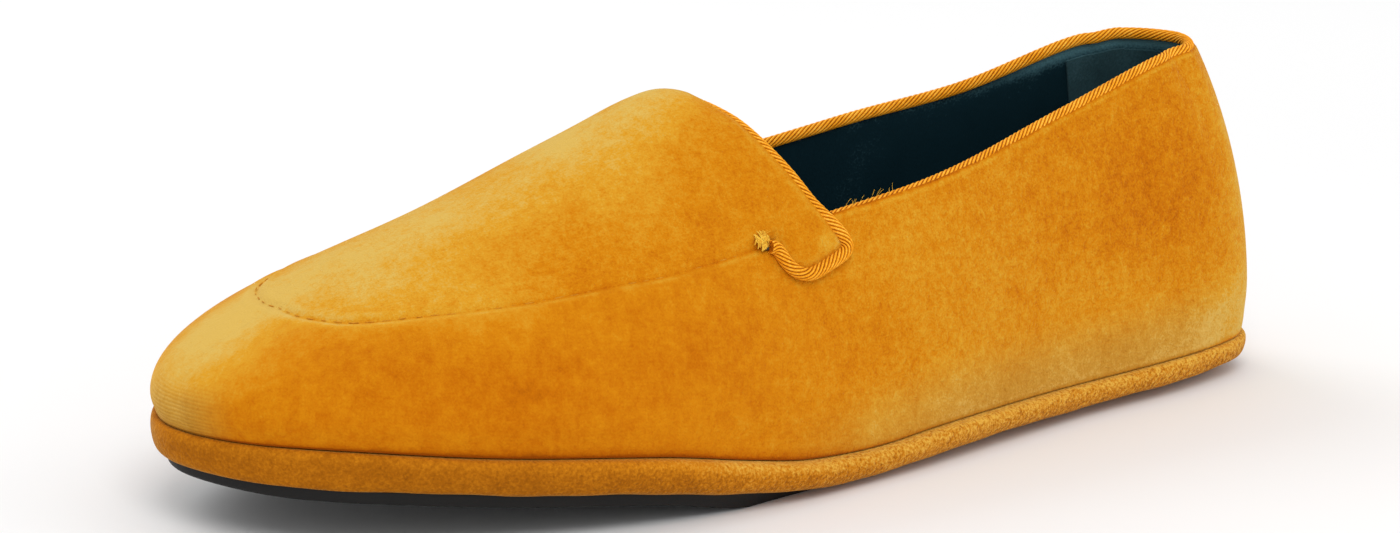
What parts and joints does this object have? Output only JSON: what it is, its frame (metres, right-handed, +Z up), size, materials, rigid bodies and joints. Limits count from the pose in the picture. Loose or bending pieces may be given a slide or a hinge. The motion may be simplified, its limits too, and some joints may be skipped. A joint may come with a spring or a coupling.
{
  "type": "velvet loafer",
  "caption": "Left slip-on loafer in mustard velvet with a stitched plug, corded collar and tabs, a velvet-wrapped rand and a thin black sole.",
  "frame": {"origin": "middle of the shoe's box, on the floor it stands on", "axes": "-X towards the toe, +X towards the heel, -Y towards the foot's outer side, +Z up"},
  "size_m": [0.2937, 0.1003, 0.0839],
  "materials": {
    "velvet": "mustard cotton velvet with a short nap",
    "rand_velvet": "the same velvet stretched over the rand",
    "cord": "twisted two-tone cord",
    "lining_leather": "smooth dark teal leather",
    "sole_rubber": "matt black rubber"
  },
  "bodies": {
    "root": {"outsole": "sole_rubber", "wrapped_midsole": "rand_velvet", "insole": "lining_leather", "upper": "velvet", "plug": "velvet", "collar_cord": "cord", "plug_cord": "cord"}
  },
  "joints": []
}
